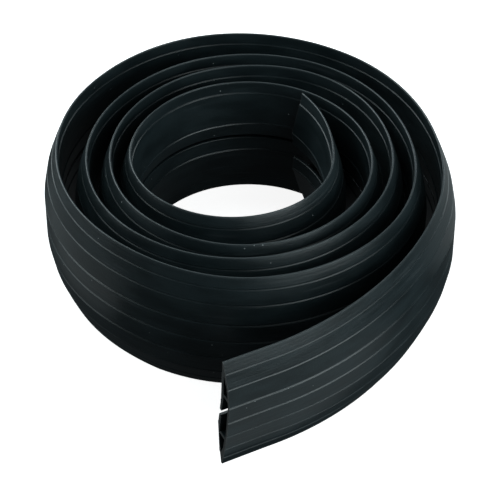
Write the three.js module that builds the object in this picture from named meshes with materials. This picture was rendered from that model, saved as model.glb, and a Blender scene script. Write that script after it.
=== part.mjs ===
// A floor cord cover: one extruded rubber strip with a domed top and a flat, slit base.
// It stands on its edge as a loose coil, base inwards, with a free lip at the outer end.
// Millimetres, +Z up, the floor at Z = 0. The lip runs along X, and its mouth faces -X.
import * as THREE from 'three';

// The strip as it is sold
const width = 100;
const length = 3000;
const thickness = 12;

// Its section: s runs across the strip from the centre line, t from the base outwards
const edgeThickness = 1.6;
const skin = 2;
const flap = 2.4;
const web = 2;
const webFoot = 0.5;
const slitWidth = 5;
const haunchAcross = 42;
const haunchHeight = 4.8;
const shoulderAcross = 31;
const shoulderHeight = 9.1;
const crestHalf = 15.5;
const webAcross = 20.5;
const sideVoidEnd = 39.5;
const sideVoidTip = 2.6;

// The coil: the radius of the innermost turn, every eighth of a turn from the inner end
const innermostTurn = [73.5, 69.5, 71.5, 72, 72.5, 72.5, 73, 79];
// The spare room between each turn and the one inside it, at the same eighths
const leastGap = 0.8;
const spareRoom = [
  [0.5, 12.5, 16, 16, 7.5, 1.5, 3, 7.5],
  [10.5, 3.5, 0, 0, 3, 4, 3.5, 3],
  [0, 1.5, 6.5, 6.5, 2, 7.5, 15, 17],
  [10, 6.5, 8, 8, 7, 7, 7, 7],
];

// The outer end: it opens on a wider bend, then runs straight
const openingRadius = 225;
const openingTurn = 46;
const lip = 36;

// The inner end: its two edges flare out to the next turn, easing off along the strip,
// and its bottom edge lies further along than its top one
const innerFlare = 10;
const innerFlareLength = 70;
const innerSkew = 5;

// The outermost turn: its bottom edge spreads outwards between these two distances along the strip
const footSpread = 3;
const spreadFrom = 2080;
const spreadTo = 2870;
const spreadEaseIn = 60;
const spreadEaseOut = 100;

// The outer end: how far it has sprung outwards at each quarter of its height, easing off along the strip
const outerShift = [-1.5, -4.4, -1, 2.2, 2.9];
const outerEaseLength = 180;

// How finely the coil is faceted
const stepLength = 19;
const traceStep = 3;

const rad = THREE.MathUtils.degToRad;
const eighths = innermostTurn.length;

// A smooth value at a place between the whole numbered entries
function smoothly(entry, place) {
  const i = Math.floor(place);
  const f = place - i;
  const [a, b, c, d] = [entry(i - 1), entry(i), entry(i + 1), entry(i + 2)];
  const slopeB = (c - a) / 2;
  const slopeC = (d - b) / 2;
  const f2 = f * f;
  const f3 = f2 * f;
  return (2 * f3 - 3 * f2 + 1) * b + (f3 - 2 * f2 + f) * slopeB + (3 * f2 - 2 * f3) * c + (f3 - f2) * slopeC;
}

// The radius at entry i, counted in eighths from the inner end: each turn clears the one inside it
function radiusAt(i) {
  if (i < 0) return 2 * radiusAt(0) - radiusAt(-i);
  if (i < eighths) return innermostTurn[i];
  const turn = Math.min(Math.floor(i / eighths) - 1, spareRoom.length - 1);
  return radiusAt(i - eighths) + thickness + leastGap + spareRoom[turn][i % eighths];
}

// A point of the base line, seen from above. The strip winds clockwise from the inner end.
function coilPoint(angle) {
  const radius = smoothly(radiusAt, (angle / 360) * eighths);
  return new THREE.Vector2(radius * Math.cos(rad(-angle)), radius * Math.sin(rad(-angle)));
}

// The base line from the inner end to the outer one, at the strip's length
function traceBaseLine() {
  const points = [coilPoint(0)];
  const coiled = length - lip - openingRadius * rad(openingTurn);
  let run = 0;
  let angle = 0;
  while (run < coiled) {
    angle += traceStep;
    const next = coilPoint(angle);
    run += next.distanceTo(points.at(-1));
    points.push(next);
  }
  let heading = points.at(-1).clone().sub(points.at(-2)).angle();
  const bends = Math.round(openingTurn / traceStep);
  for (let i = 0; i < bends; i++) {
    heading -= rad(openingTurn / bends);
    const stride = new THREE.Vector2(openingRadius * rad(openingTurn / bends), 0);
    points.push(points.at(-1).clone().add(stride.rotateAround(new THREE.Vector2(), heading)));
  }
  const straight = new THREE.Vector2(length - traceLength(points), 0).rotateAround(new THREE.Vector2(), heading);
  points.push(points.at(-1).clone().add(straight.clone().multiplyScalar(0.5)));
  points.push(points.at(-2).clone().add(straight));
  for (const point of points) point.rotateAround(new THREE.Vector2(), Math.PI - heading);
  return points;
}

function traceLength(points) {
  return points.slice(1).reduce((sum, point, i) => sum + point.distanceTo(points[i]), 0);
}

// The section, with the slit channel in its outline and the two closed side voids as holes
function makeSection() {
  const half = width / 2;
  const slit = slitWidth / 2;
  const inside = thickness - skin;
  const slope = (thickness - shoulderHeight) / (shoulderAcross - crestHalf);
  const roof = (across) => inside - slope * (across - crestHalf);
  const [webInside, webOutside] = [webAcross - web / 2, webAcross + web / 2];
  const side = [
    [slit, 0],
    [half, 0],
    [half, edgeThickness],
    [haunchAcross, haunchHeight],
    [shoulderAcross, shoulderHeight],
    [crestHalf, thickness],
  ];
  const channel = [
    [crestHalf, inside],
    [webInside, roof(webInside)],
    [webInside, flap + webFoot],
    [slit, flap],
  ];
  const voidCorners = [
    [webOutside, skin + webFoot],
    [webOutside, roof(webOutside)],
    [shoulderAcross - skin / 2, roof(shoulderAcross)],
    [sideVoidEnd, sideVoidTip],
  ];
  const mirrored = (corners) => corners.map(([s, t]) => [-s, t]).reverse();
  const toPoints = (corners) => corners.map(([s, t]) => new THREE.Vector2(s, t));
  const outline = [...side, ...mirrored(side), ...mirrored(channel), ...channel];
  const section = new THREE.Shape(toPoints(outline));
  section.holes.push(new THREE.Path(toPoints(voidCorners)));
  section.holes.push(new THREE.Path(toPoints(mirrored(voidCorners))));
  return section;
}

// How far a point of the section lies outside the base line, with the strip sprung out of its own shape
function outwardAt(along, above, off) {
  const share = (value) => THREE.MathUtils.clamp(value, 0, 1);
  const shiftAt = (i) => outerShift[THREE.MathUtils.clamp(i, 0, outerShift.length - 1)];
  const across = above / (width / 2);
  const flare = innerFlare * share(1 - along / innerFlareLength) ** 2;
  const spread = share((along - spreadFrom) / spreadEaseIn) * share((spreadTo - along) / spreadEaseOut);
  const spring = share(1 - (length - lip - along) / outerEaseLength) ** 2;
  const shift = smoothly(shiftAt, ((1 + across) / 2) * (outerShift.length - 1));
  return off + flare * across ** 2 + (footSpread * spread * (1 - across)) / 2 + spring * shift;
}

// The straight strip, rolled up on its edge along the base line
function makeCover() {
  const steps = Math.round(length / stepLength);
  const strip = new THREE.ExtrudeGeometry(makeSection(), { depth: length, steps, bevelEnabled: false });
  const baseLine = new THREE.SplineCurve(traceBaseLine());
  baseLine.arcLengthDivisions = 4000;
  const corners = strip.attributes.position;
  const stations = new Map();
  for (let i = 0; i < corners.count; i++) {
    const above = -corners.getX(i);
    const along = THREE.MathUtils.clamp(corners.getZ(i), 0, length);
    const key = Math.round((along * steps) / length);
    if (!stations.has(key)) {
      const tangent = baseLine.getTangentAt(key / steps);
      const outward = new THREE.Vector2(-tangent.y, tangent.x);
      stations.set(key, { place: baseLine.getPointAt(key / steps), tangent, outward });
    }
    const { place, tangent, outward } = stations.get(key);
    const out = outwardAt(along, above, corners.getY(i));
    const onward = key === 0 ? innerSkew * (0.5 - above / width) : 0;
    const x = place.x + outward.x * out + tangent.x * onward;
    const y = place.y + outward.y * out + tangent.y * onward;
    corners.setXYZ(i, x, y, width / 2 + above);
  }
  strip.computeBoundingBox();
  const centre = strip.boundingBox.getCenter(new THREE.Vector3());
  strip.translate(-centre.x, -centre.y, 0);
  strip.deleteAttribute('uv');
  strip.computeVertexNormals();
  return strip;
}

const blackRubber = new THREE.MeshStandardMaterial({ color: 0x1a1e20, roughness: 0.55, metalness: 0 });
const cover = new THREE.Mesh(makeCover(), blackRubber);
cover.name = 'cord_cover';

const floorCordCover = new THREE.Group();
floorCordCover.add(cover);

export default floorCordCover;
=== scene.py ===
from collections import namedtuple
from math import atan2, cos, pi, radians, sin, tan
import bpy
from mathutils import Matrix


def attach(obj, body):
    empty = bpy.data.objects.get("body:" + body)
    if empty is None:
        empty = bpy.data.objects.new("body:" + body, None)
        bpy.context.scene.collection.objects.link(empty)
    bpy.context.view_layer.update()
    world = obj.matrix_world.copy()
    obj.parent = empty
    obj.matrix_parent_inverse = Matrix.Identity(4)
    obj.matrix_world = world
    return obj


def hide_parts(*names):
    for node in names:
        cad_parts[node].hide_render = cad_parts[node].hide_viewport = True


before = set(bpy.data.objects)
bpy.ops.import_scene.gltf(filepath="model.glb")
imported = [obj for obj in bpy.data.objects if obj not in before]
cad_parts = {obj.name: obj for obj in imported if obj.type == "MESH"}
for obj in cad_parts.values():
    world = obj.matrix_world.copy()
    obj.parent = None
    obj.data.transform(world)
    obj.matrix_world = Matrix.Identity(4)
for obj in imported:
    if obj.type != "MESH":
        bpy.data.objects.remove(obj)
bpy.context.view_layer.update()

# A floor cord cover: one black rubber strip, drawn flat and straight and then rolled up on its edge.
# Metres. In the straight strip X runs along it, Y outwards from its base, and Z up across its width.
from types import SimpleNamespace

import bpy
import numpy as np
from mathutils import Vector

MM = 0.001

# The strip as it is sold
WIDTH = 100 * MM
HALF_WIDTH = WIDTH / 2
LENGTH = 3000 * MM
THICKNESS = 12 * MM

# Its walls, from the base outwards
EDGE_THICKNESS = 2 * MM
SKIN = 2 * MM
SHOULDER_SKIN = 2.2 * MM
FLAP = 2.4 * MM
WEB = 2 * MM
WEB_FOOT = 0.5 * MM
WEB_ACROSS = 20.5 * MM
SLIT_WIDTH = 5 * MM
SIDE_VOID_END = 39.5 * MM
SIDE_VOID_TIP = 2.6 * MM

# The base's relief: the bead along the crease of each flap, and the thinner band along each edge
CREASE = 12.5 * MM
BEAD_WIDTH = 1.8 * MM
BEAD_HEIGHT = 0.6 * MM
EDGE_BAND = 9.5 * MM
EDGE_BAND_DEPTH = 0.7 * MM

# The dome's decorative grooves: the distance of each from the centre line, the dome's height there,
# and how deep and wide the groove is
Groove = namedtuple("Groove", "across top depth width")
HAUNCH = Groove(42 * MM, 5.2 * MM, 0.5 * MM, 1.3 * MM)
SHOULDER = Groove(31 * MM, 9.1 * MM, 0.55 * MM, 1.4 * MM)
CREST = Groove(15.5 * MM, 11.85 * MM, 0.9 * MM, 2.2 * MM)
MIDDLE = Groove(0, 11.85 * MM, 0.8 * MM, 2 * MM)

# How round the section's corners are
TIP_ROUND = 0.6 * MM
GROOVE_RIM_ROUND = 0.35 * MM
MIDDLE_RIM_ROUND = 0.4 * MM
GROOVE_FOOT_ROUND = 0.15 * MM
SLIT_ROUND = 0.5 * MM
BEAD_ROUND = 0.35 * MM
BEAD_FOOT_ROUND = 0.2 * MM
BAND_EDGE_ROUND = 0.5 * MM
BAND_FOOT_ROUND = 0.15 * MM
WALL_FOOT_ROUND = 0.6 * MM
WALL_TOP_ROUND = 0.8 * MM
ROOF_ROUND = 2 * MM
VOID_TIP_ROUND = 0.3 * MM
VOID_FLOOR_ROUND = 3 * MM
# The most of each side that a round corner takes up
MOST_ROUNDED = 0.45

# The coil, in millimetres: the radius of the innermost turn, every eighth of a turn from the inner end
INNERMOST_TURN = (73.5, 69.5, 71.5, 72, 72.5, 72.5, 73, 79)
# The least gap between a turn and the one inside it, and the spare room past it at the same eighths
LEAST_GAP = 0.8
SPARE_ROOM = (
    (0.5, 12.5, 16, 16, 7.5, 1.5, 3, 7.5),
    (10.5, 3.5, 0, 0, 3, 4, 3.5, 3),
    (0, 1.5, 6.5, 6.5, 2, 7.5, 15, 17),
    (10, 6.5, 8, 8, 7, 7, 7, 7),
)
# The outer end: it opens on a wider bend, then runs straight
OPENING_RADIUS = 225 * MM
OPENING_TURN = radians(46)
LIP = 36 * MM
# The degrees of turn between two knots of the line that the coil follows, and the line's smoothness
TRACE_STEP = 3
LINE_RESOLUTION = 12

# The inner end: its two edges flare out to the next turn, and its bottom edge lies further along
INNER_FLARE = 10 * MM
INNER_FLARE_LENGTH = 70 * MM
INNER_SKEW = 5 * MM
INNER_SKEW_LENGTH = 40 * MM
# The outermost turn: its bottom edge spreads outwards between these two distances along the strip
FOOT_SPREAD = 3 * MM
SPREAD_FROM = 2080 * MM
SPREAD_TO = 2870 * MM
SPREAD_EASE_IN = 60 * MM
SPREAD_EASE_OUT = 100 * MM
# The outer end: how far, in millimetres, it has sprung outwards at each quarter of its height
OUTER_DOME_SHIFT = (-1.5, -3.6, -0.6, 2, 2.9)
OUTER_BASE_SHIFT = (-1.5, -5.4, -1.6, 2.6, 2.9)
OUTER_EASE = 180 * MM

# The lines that the base bends at: the centre line, the slit, the crease, the thinner band and the edge
BASE_LINES = (0, SLIT_WIDTH / 2, CREASE, HALF_WIDTH - EDGE_BAND, HALF_WIDTH)
# How far, in millimetres, the base of the innermost turn bows in towards the bore at each of them
BOW_IN = (0, 0.6, 2.5, 0, 0)
BOW_TO = 450 * MM
BOW_EASE = 50 * MM
# How far the upper half of the base is pushed outwards at the inner end, and how far past the cut
PUSHED_OUT = (6, 6.4, 8.5, 2.5, 0)
PUSHED_PAST = (5, 5.9, 7, 1.3, 0)
PUSHED_LENGTH = 55 * MM
# Each flap moves this far into the slit where the strip is rolled up
PINCH = 1.3 * MM
PINCH_FROM = 60 * MM
PINCH_TO = 2860 * MM
PINCH_EASE = 60 * MM

# The mesh: how long one bay of the strip is, how near an end a point of its cut is, how close two points
# are to be one point, and the sharpest fold that is shaded smoothly
BAY = 5 * MM
NEAR_END = BAY / 4
SAME_POINT = MM / 1000
MERGED_WITHIN = MM / 100
SMOOTH_FOLD = radians(50)
# Where each point lay in the straight strip, which the finish follows
LAID_FLAT = "laid_flat"

# The rubber's colours
RUBBER_DARK = (0.009, 0.015, 0.017, 1)
RUBBER_BLOOM = (0.015, 0.024, 0.027, 1)
# The scuffed colour also serves as the painted highlight along both rims
RUBBER_SCUFFED_AND_HIGHLIGHT = (0.034, 0.044, 0.048, 1)
RUBBER_CUT = (0.055, 0.057, 0.057, 1)
DUST = (0.42, 0.45, 0.46, 1)
RUBBER_REFRACTION = 1.5
# Its uneven marks: their number in a metre along the strip, outwards and across it, and their detail
Pattern = namedtuple("Pattern", "per_metre detail")
BLOOM = Pattern((30, 90, 90), 6)
DIE_LINES = Pattern((1.5, 900, 900), 3)
GRAIN = Pattern((700, 700, 700), 4)
STREAKS = Pattern((14, 260, 260), 5)
# Between which heights of their noise they go from nothing to full
BLOOM_TINTS = (0.35, 0.65)
BLOOM_DULLS = (0.3, 0.7)
DIE_LINES_SHOW = (0.25, 0.75)
SCUFFS_SHOW = (0.6, 0.72)
# The dust: its cells in a metre, the draw from which a cell holds a speck, and a speck's edge and core
DUST_CELLS = 170
SPECK_DRAWN = (0.87, 0.88)
SPECK_SIZE = (0.085, 0.045)
# The worn rims, which are also lightened as a painted highlight, and the cut ends: how far from the edge
# and from the cut they start and are full
RIM_WEAR_AND_HIGHLIGHT = (1.6 * MM, 0.4 * MM)
CUT_FACE = (0.3 * MM, 0.05 * MM)
# How strongly the scuffs and the rims are tinted; the rims' paler tint is wear and a painted highlight
SCUFF_TINT = 0.5
RIM_WEAR_AND_HIGHLIGHT_TINT = 0.7
# Roughness without and with bloom, and what the other marks add to it
ROUGHNESS = (0.33, 0.39)
DIE_LINE_ROUGHNESS = (-0.04, 0.04)
SCUFF_ROUGHNESS = 0.08
CUT_ROUGHNESS = 0.2
# Its fine relief
BUMP_STRENGTH = 0.8
DIE_LINE_RELIEF = 0.12 * MM
GRAIN_RELIEF = 0.1 * MM
SPECK_RELIEF = 3

# The camera, seen from the coil: bearing, elevation and distance, and the point that it looks at
CAMERA_AZIMUTH = -26.23
CAMERA_ELEVATION = 42.08
CAMERA_DISTANCE = 1.0643
CAMERA_TARGET = (-0.02326, -0.03219, 0.05)
CAMERA_LENS = 108
SENSOR_WIDTH = 36
NEAREST_SEEN = 0.01

# The studio: each softbox's bearing from the camera, positive to its right, its elevation and its power
SOFTBOXES = (
    ("front", 30, 20, 3.6),
    ("front_right", 60, 20, 6.6),
    ("front_right_high", 45, 40, 3.7),
    ("front_right_low", 45, 5, 0.9),
    ("back_right_low", 135, 5, 4.5),
    ("back_high", 180, 62, 4.6),
    ("back_left_high", 225, 40, 9.6),
    ("back_left_low", 225, 5, 4.6),
    ("left", 270, 20, 5.3),
)
SOFTBOX_DISTANCE = 1.5
SOFTBOX_SIZE = 0.8
# Where the floor glows up at the coil: each patch's bearing from the camera, its distance and its power
FLOOR_PATCHES = (
    ("floor_by_the_lip", 22, 0.3, 0.048),
    ("floor_on_the_right", 115, 0.31, 0.05),
    ("floor_on_the_left", 278, 0.32, 0.055),
)
PATCH_SIZE = 0.26
PATCH_HEIGHT = 1 * MM
LIGHT_COLOUR = (0.86, 0.98, 1)
ROOM_COLOUR = (0.85, 0.95, 1, 1)
ROOM_STRENGTH = 0.038
FLOOR_SIZE = 8
PAPER_WHITE = (0.9, 0.9, 0.9, 1)
PAPER_ROUGHNESS = 0.9
FLOOR_GLOW_COLOUR = (1, 1, 1, 1)
FLOOR_GLOW = 0.9
UP = Vector((0, 0, 1))


def deselect_all():
    bpy.ops.object.select_all(action="DESELECT")


def make_active(piece):
    deselect_all()
    piece.select_set(True)
    bpy.context.view_layer.objects.active = piece


def edit_all(piece):
    """Opens a piece in edit mode with all of it selected."""
    make_active(piece)
    bpy.ops.object.mode_set(mode="EDIT")
    bpy.ops.mesh.select_all(action="SELECT")


def apply_modifier(piece, kind, **settings):
    """Adds a modifier, sets it and applies it."""
    modifier = piece.modifiers.new(kind.title(), kind)
    for name, value in settings.items():
        setattr(modifier, name, value)
    make_active(piece)
    bpy.ops.object.modifier_apply(modifier=modifier.name)


# The section

# A corner of the section: its distance from the centre line, its height above the base and how round it is
Corner = namedtuple("Corner", "across out radius")


def dome_height(across):
    """The dome's height between its grooves, at a distance from the centre line."""
    lines = (MIDDLE, CREST, SHOULDER, HAUNCH)
    distances = [*[line.across for line in lines], HALF_WIDTH]
    heights = [*[line.top for line in lines], EDGE_THICKNESS]
    return float(np.interp(across, distances, heights))


def dome_side():
    """The dome from the tip almost to the centre line, with a V at each groove."""
    corners = [
        Corner(HALF_WIDTH, EDGE_BAND_DEPTH, TIP_ROUND),
        Corner(HALF_WIDTH, EDGE_THICKNESS, TIP_ROUND),
    ]
    for groove in (HAUNCH, SHOULDER, CREST):
        outer_rim = groove.across + groove.width / 2
        inner_rim = groove.across - groove.width / 2
        corners += [
            Corner(outer_rim, dome_height(outer_rim), GROOVE_RIM_ROUND),
            Corner(groove.across, groove.top - groove.depth, GROOVE_FOOT_ROUND),
            Corner(inner_rim, dome_height(inner_rim), GROOVE_RIM_ROUND),
        ]
    corners.append(Corner(MIDDLE.width / 2, MIDDLE.top, MIDDLE_RIM_ROUND))
    return corners


def base_side():
    """The base from the slit to the thinner band along the edge, with the bead that the flap bends at."""
    band = HALF_WIDTH - EDGE_BAND
    slant = EDGE_BAND_DEPTH / 2
    return [
        Corner(SLIT_WIDTH / 2, 0, SLIT_ROUND),
        Corner(CREASE - BEAD_WIDTH / 2, 0, BEAD_FOOT_ROUND),
        Corner(CREASE, -BEAD_HEIGHT, BEAD_ROUND),
        Corner(CREASE + BEAD_WIDTH / 2, 0, BEAD_FOOT_ROUND),
        Corner(band - slant, 0, BAND_EDGE_ROUND),
        Corner(band + slant, EDGE_BAND_DEPTH, BAND_FOOT_ROUND),
    ]


def channel_side():
    """The channel's wall from the slit to its roof."""
    wall = WEB_ACROSS - WEB / 2
    return [
        Corner(SLIT_WIDTH / 2, FLAP, SLIT_ROUND),
        Corner(wall, FLAP + WEB_FOOT, WALL_FOOT_ROUND),
        Corner(wall, dome_height(wall) - SKIN, WALL_TOP_ROUND),
        Corner(CREST.across, CREST.top - SKIN, ROOF_ROUND),
    ]


def void_side():
    """The closed void between the web and the thin edge."""
    wall = WEB_ACROSS + WEB / 2
    return [
        Corner(wall, SKIN + WEB_FOOT, WALL_FOOT_ROUND),
        Corner(wall, dome_height(wall) - SKIN, WALL_TOP_ROUND),
        Corner(SHOULDER.across, SHOULDER.top - SHOULDER_SKIN, ROOF_ROUND),
        Corner(SIDE_VOID_END, SIDE_VOID_TIP, VOID_TIP_ROUND),
        Corner(SHOULDER.across, SKIN, VOID_FLOOR_ROUND),
    ]


def mirrored(corners):
    """The same corners on the other side of the centre line, in the order that carries an outline on."""
    return [corner._replace(across=-corner.across) for corner in reversed(corners)]


def rounded(corners):
    """The points of a closed outline, with every corner as an arc of three points."""
    spots = [Vector((corner.across, corner.out)) for corner in corners]
    points = []
    for i, here in enumerate(spots):
        before = spots[i - 1] - here
        after = spots[(i + 1) % len(spots)] - here
        half_angle = before.angle(after) / 2
        longest = MOST_ROUNDED * min(before.length, after.length)
        reach = min(corners[i].radius / tan(half_angle), longest)
        inward = (before.normalized() + after.normalized()).normalized()
        middle = here + inward * reach * (1 / cos(half_angle) - tan(half_angle))
        points += [here + before.normalized() * reach, middle, here + after.normalized() * reach]
    return points


def select_points(piece, chosen):
    """Selects the vertices of a piece in edit mode by a test on their place."""
    bpy.ops.mesh.select_all(action="DESELECT")
    bpy.ops.object.mode_set(mode="OBJECT")
    for vertex in piece.data.vertices:
        vertex.select = chosen(vertex.co)
    bpy.ops.object.mode_set(mode="EDIT")


def trace_loop(name, points):
    """A closed loop of edges: a small plane is merged to one vertex and pulled from point to point."""
    deselect_all()
    bpy.ops.mesh.primitive_plane_add(size=MM)
    loop = bpy.context.object
    loop.name = name
    bpy.ops.object.mode_set(mode="EDIT")
    bpy.ops.mesh.select_mode(type="VERT")
    bpy.ops.mesh.merge(type="CENTER")
    places = [Vector((0, out, HALF_WIDTH + across)) for across, out in points]
    bpy.ops.transform.translate(value=places[0])
    for last, place in zip(places, places[1:]):
        bpy.ops.mesh.extrude_region_move(TRANSFORM_OT_translate={"value": place - last})
    ends = (places[0], places[-1])
    select_points(loop, lambda co: min((co - end).length for end in ends) < SAME_POINT)
    bpy.ops.mesh.edge_face_add()
    bpy.ops.object.mode_set(mode="OBJECT")
    return loop


def draw_section():
    """The whole section as three loops: the outline with its slit channel, and the two side voids."""
    side = [*base_side(), *dome_side()]
    middle = Corner(MIDDLE.across, MIDDLE.top - MIDDLE.depth, GROOVE_FOOT_ROUND)
    channel = channel_side()
    outline = [*side, middle, *mirrored(side), *reversed(mirrored(channel)), *reversed(channel)]
    section = trace_loop("cord_cover_strip", rounded(outline))
    voids = [trace_loop("void", rounded(corners)) for corners in (void_side(), mirrored(void_side()))]
    make_active(section)
    for void in voids:
        void.select_set(True)
    bpy.ops.object.join()
    return section


def pull_strip(section):
    """The straight strip: one bay pulled from the section, repeated along X and closed at both ends."""
    edit_all(section)
    bpy.ops.mesh.extrude_region_move(TRANSFORM_OT_translate={"value": (BAY, 0, 0)})
    bpy.ops.object.mode_set(mode="OBJECT")
    apply_modifier(
        section,
        "ARRAY",
        count=round(LENGTH / BAY),
        use_relative_offset=False,
        use_constant_offset=True,
        constant_offset_displace=(BAY, 0, 0),
        use_merge_vertices=True,
        merge_threshold=MERGED_WITHIN,
    )
    bpy.ops.object.mode_set(mode="EDIT")
    for end in (0, LENGTH):
        select_points(section, lambda co: abs(co.x - end) < NEAR_END)
        bpy.ops.mesh.fill()
    bpy.ops.mesh.select_all(action="SELECT")
    bpy.ops.mesh.normals_make_consistent(inside=False)
    bpy.ops.object.mode_set(mode="OBJECT")
    return section


# The line that the coil follows

def smoothly(entry, place):
    """A smooth value between the whole numbered entries, at one place or at many."""
    i = np.floor(place).astype(int)
    f = place - i
    a, b, c, d = entry(i - 1), entry(i), entry(i + 1), entry(i + 2)
    slope_b = (c - a) / 2
    slope_c = (d - b) / 2
    rise = 3 * f**2 - 2 * f**3
    return (1 - rise) * b + rise * c + (f**3 - 2 * f**2 + f) * slope_b + (f**3 - f**2) * slope_c


def radius_at(i):
    """The base line's radius in millimetres at entry i, counted in eighths of a turn from the inner end."""
    eighths = len(INNERMOST_TURN)
    if i < 0:
        return 2 * radius_at(0) - radius_at(-i)
    if i < eighths:
        return INNERMOST_TURN[i]
    turn = min(i // eighths - 1, len(SPARE_ROOM) - 1)
    return radius_at(i - eighths) + THICKNESS / MM + LEAST_GAP + SPARE_ROOM[turn][i % eighths]


def step_towards(heading, distance):
    """A step on the floor, seen from above."""
    return distance * np.array([cos(heading), sin(heading)])


def coil_point(angle):
    """A point of the base line. The strip winds clockwise from the inner end."""
    radius = smoothly(radius_at, angle / 360 * len(INNERMOST_TURN)) * MM
    return step_towards(radians(-angle), radius)


def trace_base_line():
    """The base line from the inner end to the outer one, turned so that the lip runs along X."""
    points = [coil_point(0)]
    coiled = LENGTH - LIP - OPENING_RADIUS * OPENING_TURN
    run = 0
    angle = 0
    while run < coiled:
        angle += TRACE_STEP
        following = coil_point(angle)
        run += np.linalg.norm(following - points[-1])
        points.append(following)
    heading = atan2(*(points[-1] - points[-2])[::-1])
    bends = round(OPENING_TURN / radians(TRACE_STEP))
    for _ in range(bends):
        heading -= OPENING_TURN / bends
        points.append(points[-1] + step_towards(heading, OPENING_RADIUS * OPENING_TURN / bends))
    rest = LENGTH - sum(np.linalg.norm(b - a) for a, b in zip(points, points[1:]))
    bend_end = points[-1]
    for distance in (rest / 2, rest):
        points.append(bend_end + step_towards(heading, distance))
    turned = pi - heading
    turn = np.array([[cos(turned), sin(turned)], [-sin(turned), cos(turned)]])
    return np.array(points) @ turn


# How the strip has sprung out of its own shape

def share(value):
    """A share of a movement, held between none and all of it."""
    return np.clip(value, 0, 1)


def on_base(out):
    """How much a point belongs to the base: all of the flaps, less up the webs, none of the dome's skin."""
    return np.interp(out, (FLAP + WEB_FOOT, THICKNESS - SKIN), (1, 0))


def outer_shift(above, quarters):
    """How far the outer end has sprung outwards at each point's height."""
    last = len(quarters) - 1
    shifts = np.array(quarters) * MM
    return smoothly(lambda i: shifts[np.clip(i, 0, last)], (0.5 + above / WIDTH) * last)


def outward_at(along, above, out):
    """How far each point lies outside the base line once both ends and the foot have sprung out."""
    across = above / HALF_WIDTH
    flare = INNER_FLARE * share(1 - along / INNER_FLARE_LENGTH) ** 2
    spread_in = share((along - SPREAD_FROM) / SPREAD_EASE_IN)
    spread_out = share((SPREAD_TO - along) / SPREAD_EASE_OUT)
    spread = FOOT_SPREAD * spread_in * spread_out * (1 - across) / 2
    spring = share(1 - (LENGTH - LIP - along) / OUTER_EASE) ** 2
    base_shift = on_base(out) * outer_shift(above, OUTER_BASE_SHIFT)
    dome_shift = (1 - on_base(out)) * outer_shift(above, OUTER_DOME_SHIFT)
    return out + flare * across**2 + spread + spring * (base_shift + dome_shift)


def inner_push(along, above, amounts):
    """The push on the upper half of the base at the inner end, from its amounts at the base's lines."""
    ease = share(1 - along / PUSHED_LENGTH) ** 2
    return (above > 0) * ease * np.interp(above, BASE_LINES, amounts) * MM


def base_bend(along, above, out):
    """How far the base bows in on the innermost turn, and how far it is pushed outwards at its very end."""
    free = share((BOW_TO - along) / BOW_EASE)
    bowed = free * np.interp(np.abs(above), BASE_LINES, BOW_IN) * MM
    return (inner_push(along, above, PUSHED_OUT) - bowed) * on_base(out)


def onward_at(along, above, out):
    """How far along the strip the points near the inner end lie from where a square cut leaves them."""
    skew = INNER_SKEW * share(1 - along / INNER_SKEW_LENGTH)
    return skew * (0.5 - above / WIDTH) - inner_push(along, above, PUSHED_PAST) * on_base(out)


def pinch_at(along, above, out):
    """How far the flaps' edges move towards the centre line where the strip is rolled up."""
    rolled = share((along - PINCH_FROM) / PINCH_EASE) * share((PINCH_TO - along) / PINCH_EASE)
    flap = share(1 - (np.abs(above) - SLIT_WIDTH / 2) / (CREASE - SLIT_WIDTH / 2))
    return -np.sign(above) * PINCH * rolled * flap * (out < FLAP + WEB_FOOT)


def spring_out_of_shape(strip):
    """Bends the straight strip's section along its length, and notes where each point lay before."""
    co = np.empty(len(strip.data.vertices) * 3)
    strip.data.vertices.foreach_get("co", co)
    flat = strip.data.attributes.new(LAID_FLAT, "FLOAT_VECTOR", "POINT")
    flat.data.foreach_set("vector", co)
    along, out, height = co.reshape(-1, 3).T
    above = height - HALF_WIDTH
    askew = along + onward_at(along, above, out)
    sprung = outward_at(along, above, out) + base_bend(along, above, out)
    closed = height + pinch_at(along, above, out)
    strip.data.vertices.foreach_set("co", np.column_stack([askew, sprung, closed]).ravel())
    strip.data.update()


def roll_up(strip):
    """Rolls the straight strip up along the base line and centres it over the floor's origin."""
    deselect_all()
    bpy.ops.curve.primitive_bezier_curve_add()
    line = bpy.context.object
    line.name = "base_line"
    spline = line.data.splines[0]
    points = trace_base_line()
    spline.bezier_points.add(len(points) - len(spline.bezier_points))
    for knot, (x, y) in zip(spline.bezier_points, points):
        knot.co = (x, y, 0)
        knot.handle_left_type = "AUTO"
        knot.handle_right_type = "AUTO"
    line.data.dimensions = "3D"
    line.data.twist_mode = "Z_UP"
    line.data.resolution_u = LINE_RESOLUTION
    bpy.context.view_layer.update()
    apply_modifier(strip, "CURVE", object=line, deform_axis="POS_X")
    bpy.data.objects.remove(line)
    box = np.array([corner[:] for corner in strip.bound_box])
    centre = (box.min(0) + box.max(0)) / 2
    edit_all(strip)
    bpy.ops.transform.translate(value=(-centre[0], -centre[1], 0))
    bpy.ops.object.mode_set(mode="OBJECT")


def make_strip():
    """The whole strip, rolled up and shaded."""
    strip = pull_strip(draw_section())
    spring_out_of_shape(strip)
    roll_up(strip)
    make_active(strip)
    bpy.ops.object.shade_smooth_by_angle(angle=SMOOTH_FOLD)
    apply_modifier(strip, "WEIGHTED_NORMAL", keep_sharp=True)
    return strip


# The finish

def feed(tree, socket, value):
    """Links a socket to an output, or gives it a value of its own."""
    if isinstance(value, bpy.types.NodeSocket):
        tree.links.new(value, socket)
    else:
        socket.default_value = value


def node(tree, kind, inputs, **settings):
    """The outputs of a shader node with its settings made and its inputs fed, by their names or numbers."""
    made = tree.nodes.new(kind)
    for name, value in settings.items():
        setattr(made, name, value)
    for name, value in inputs.items():
        feed(tree, made.inputs[name], value)
    return made.outputs


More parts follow.
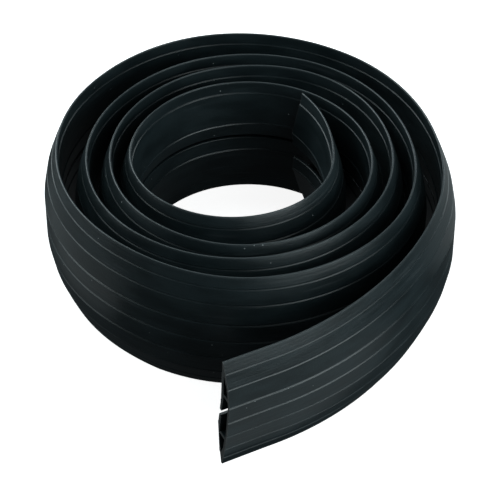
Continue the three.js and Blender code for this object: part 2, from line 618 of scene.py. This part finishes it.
def noise(tree, place, pattern):
    """Noise from 0 to 1 at a place on the straight strip."""
    stretched = node(tree, "ShaderNodeVectorMath", {0: place, 1: pattern.per_metre}, operation="MULTIPLY")
    inputs = {"Vector": stretched[0], "Scale": 1, "Detail": pattern.detail}
    return node(tree, "ShaderNodeTexNoise", inputs)[0]


def between(tree, value, spread, onto=(0, 1)):
    """A value mapped smoothly from one range onto another and held at its ends."""
    names = ("Value", "From Min", "From Max", "To Min", "To Max")
    inputs = dict(zip(names, (value, *spread, *onto)))
    return node(tree, "ShaderNodeMapRange", inputs, interpolation_type="SMOOTHSTEP")[0]


def maths(tree, operation, a, b=0):
    """One or two values put through an operation."""
    return node(tree, "ShaderNodeMath", {0: a, 1: b}, operation=operation)[0]


def blend(tree, factor, a, b):
    """One colour laid over another by a factor."""
    mixer = tree.nodes.new("ShaderNodeMix")
    mixer.data_type = "RGBA"
    sockets = {socket.name: socket for socket in mixer.inputs if socket.enabled}
    feed(tree, sockets["Factor"], factor)
    feed(tree, sockets["A"], a)
    feed(tree, sockets["B"], b)
    return next(socket for socket in mixer.outputs if socket.enabled)


def near_both_ends(tree, place, extent, distances):
    """From 0 to 1 towards both ends of an extent, between two distances from them."""
    off_centre = maths(tree, "ABSOLUTE", maths(tree, "SUBTRACT", place, extent / 2))
    return between(tree, off_centre, [extent / 2 - distance for distance in distances])


def rubber_marks(tree):
    """Everything that shows on the rubber, each from 0 to 1, by the place on the straight strip."""
    place = node(tree, "ShaderNodeAttribute", {}, attribute_name=LAID_FLAT)["Vector"]
    along, _, across = node(tree, "ShaderNodeSeparateXYZ", {0: place})
    cells = node(tree, "ShaderNodeTexVoronoi", {"Vector": place, "Scale": DUST_CELLS})
    draw = node(tree, "ShaderNodeSeparateXYZ", {0: cells["Color"]})[0]
    speck = between(tree, cells["Distance"], SPECK_SIZE)
    return SimpleNamespace(
        bloom=noise(tree, place, BLOOM),
        die_lines=noise(tree, place, DIE_LINES),
        grain=noise(tree, place, GRAIN),
        scuffs=between(tree, noise(tree, place, STREAKS), SCUFFS_SHOW),
        dust=maths(tree, "MULTIPLY", speck, between(tree, draw, SPECK_DRAWN)),
        # Paler towards both long edges: rim wear together with a painted highlight
        rim_wear_and_highlight=near_both_ends(tree, across, WIDTH, RIM_WEAR_AND_HIGHLIGHT),
        cut=near_both_ends(tree, along, LENGTH, CUT_FACE),
    )


def rubber_colour(tree, marks):
    """Near black, with a faint bloom, paler scuffs, rims paler from wear and from a painted highlight,
    greyer cut ends and a little dust.
    """
    colour = blend(tree, between(tree, marks.bloom, BLOOM_TINTS), RUBBER_DARK, RUBBER_BLOOM)
    colour = blend(tree, maths(tree, "MULTIPLY", marks.scuffs, SCUFF_TINT), colour, RUBBER_SCUFFED_AND_HIGHLIGHT)
    # The rims are lightened by wear and by a painted highlight along each edge
    colour = blend(tree, maths(tree, "MULTIPLY", marks.rim_wear_and_highlight, RIM_WEAR_AND_HIGHLIGHT_TINT), colour, RUBBER_SCUFFED_AND_HIGHLIGHT)
    colour = blend(tree, marks.cut, colour, RUBBER_CUT)
    return blend(tree, marks.dust, colour, DUST)


def rubber_roughness(tree, marks):
    """Satin, and duller where it has bloomed, is scuffed or is cut."""
    lined = between(tree, marks.die_lines, DIE_LINES_SHOW, DIE_LINE_ROUGHNESS)
    roughness = maths(tree, "ADD", between(tree, marks.bloom, BLOOM_DULLS, ROUGHNESS), lined)
    for mark, added in ((marks.scuffs, SCUFF_ROUGHNESS), (marks.cut, CUT_ROUGHNESS)):
        roughness = maths(tree, "ADD", roughness, maths(tree, "MULTIPLY", mark, added))
    return roughness


def rubber_relief(tree, marks):
    """The fine lines that the die leaves along the strip, and the grain and the dust on them."""
    lines = {"Height": marks.die_lines, "Strength": BUMP_STRENGTH, "Distance": DIE_LINE_RELIEF}
    lined = node(tree, "ShaderNodeBump", lines)[0]
    height = maths(tree, "ADD", marks.grain, maths(tree, "MULTIPLY", marks.dust, SPECK_RELIEF))
    grain = {"Height": height, "Strength": BUMP_STRENGTH, "Distance": GRAIN_RELIEF, "Normal": lined}
    return node(tree, "ShaderNodeBump", grain)[0]


def black_rubber():
    """Satin black extruded rubber."""
    material = bpy.data.materials.new("black_rubber")
    material.use_nodes = True
    tree = material.node_tree
    shader = tree.nodes["Principled BSDF"]
    marks = rubber_marks(tree)
    tree.links.new(rubber_colour(tree, marks), shader.inputs["Base Color"])
    tree.links.new(rubber_roughness(tree, marks), shader.inputs["Roughness"])
    tree.links.new(rubber_relief(tree, marks), shader.inputs["Normal"])
    shader.inputs["IOR"].default_value = RUBBER_REFRACTION
    return material


# The stage

def make_floor():
    """A glowing white floor that the camera sees and the coil doesn't."""
    deselect_all()
    bpy.ops.mesh.primitive_plane_add(size=FLOOR_SIZE)
    floor_plane = bpy.context.object
    floor_plane.name = "studio_floor"
    paper = bpy.data.materials.new("white_paper")
    paper.use_nodes = True
    shader = paper.node_tree.nodes["Principled BSDF"]
    shader.inputs["Base Color"].default_value = PAPER_WHITE
    shader.inputs["Roughness"].default_value = PAPER_ROUGHNESS
    shader.inputs["Emission Color"].default_value = FLOOR_GLOW_COLOUR
    shader.inputs["Emission Strength"].default_value = FLOOR_GLOW
    floor_plane.data.materials.append(paper)
    floor_plane.visible_diffuse = False
    floor_plane.visible_glossy = False


def place_in_scene(name, data, place, direction):
    """Puts a lamp or a camera at a place, facing in a direction."""
    placed = bpy.data.objects.new(name, data)
    bpy.context.scene.collection.objects.link(placed)
    placed.location = place
    placed.rotation_euler = direction.to_track_quat("-Z", "Y").to_euler()
    return placed


def soft_light(name, place, direction, size, watts):
    """A square softbox that the camera doesn't see."""
    light = bpy.data.lights.new(name, "AREA")
    light.shape = "SQUARE"
    light.size = size
    light.energy = watts
    light.color = LIGHT_COLOUR
    place_in_scene(name, light, place, direction).visible_camera = False


def towards(bearing, elevation):
    """The direction at a bearing from the camera, positive to its right, and an elevation."""
    turned = radians(CAMERA_AZIMUTH + bearing)
    raised = radians(elevation)
    return Vector((sin(turned) * cos(raised), -cos(turned) * cos(raised), sin(raised)))


def light_studio():
    """Softboxes round the coil, patches of floor that glow up at it, and a very dim, cool room."""
    world = bpy.data.worlds.new("studio")
    bpy.context.scene.world = world
    world.use_nodes = True
    room = world.node_tree.nodes["Background"]
    room.inputs["Color"].default_value = ROOM_COLOUR
    room.inputs["Strength"].default_value = ROOM_STRENGTH
    middle = UP * HALF_WIDTH
    for name, bearing, elevation, watts in SOFTBOXES:
        outwards = towards(bearing, elevation)
        soft_light(name, middle + outwards * SOFTBOX_DISTANCE, -outwards, SOFTBOX_SIZE, watts)
    for name, bearing, distance, watts in FLOOR_PATCHES:
        place = towards(bearing, 0) * distance + UP * PATCH_HEIGHT
        soft_light(name, place, UP, PATCH_SIZE, watts)


def place_camera():
    """Looks down on the coil from in front, with the lens that the photograph's perspective gives."""
    camera = bpy.data.cameras.new("camera")
    camera.sensor_width = SENSOR_WIDTH
    camera.lens = CAMERA_LENS
    camera.clip_start = NEAREST_SEEN
    outwards = towards(0, CAMERA_ELEVATION)
    place = Vector(CAMERA_TARGET) + outwards * CAMERA_DISTANCE
    bpy.context.scene.camera = place_in_scene("camera", camera, place, -outwards)


bpy.context.scene.view_settings.view_transform = "Standard"
place_camera()
light_studio()
make_floor()

strip = make_strip()
strip.data.materials.append(black_rubber())
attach(strip, "root")
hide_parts("cord_cover")
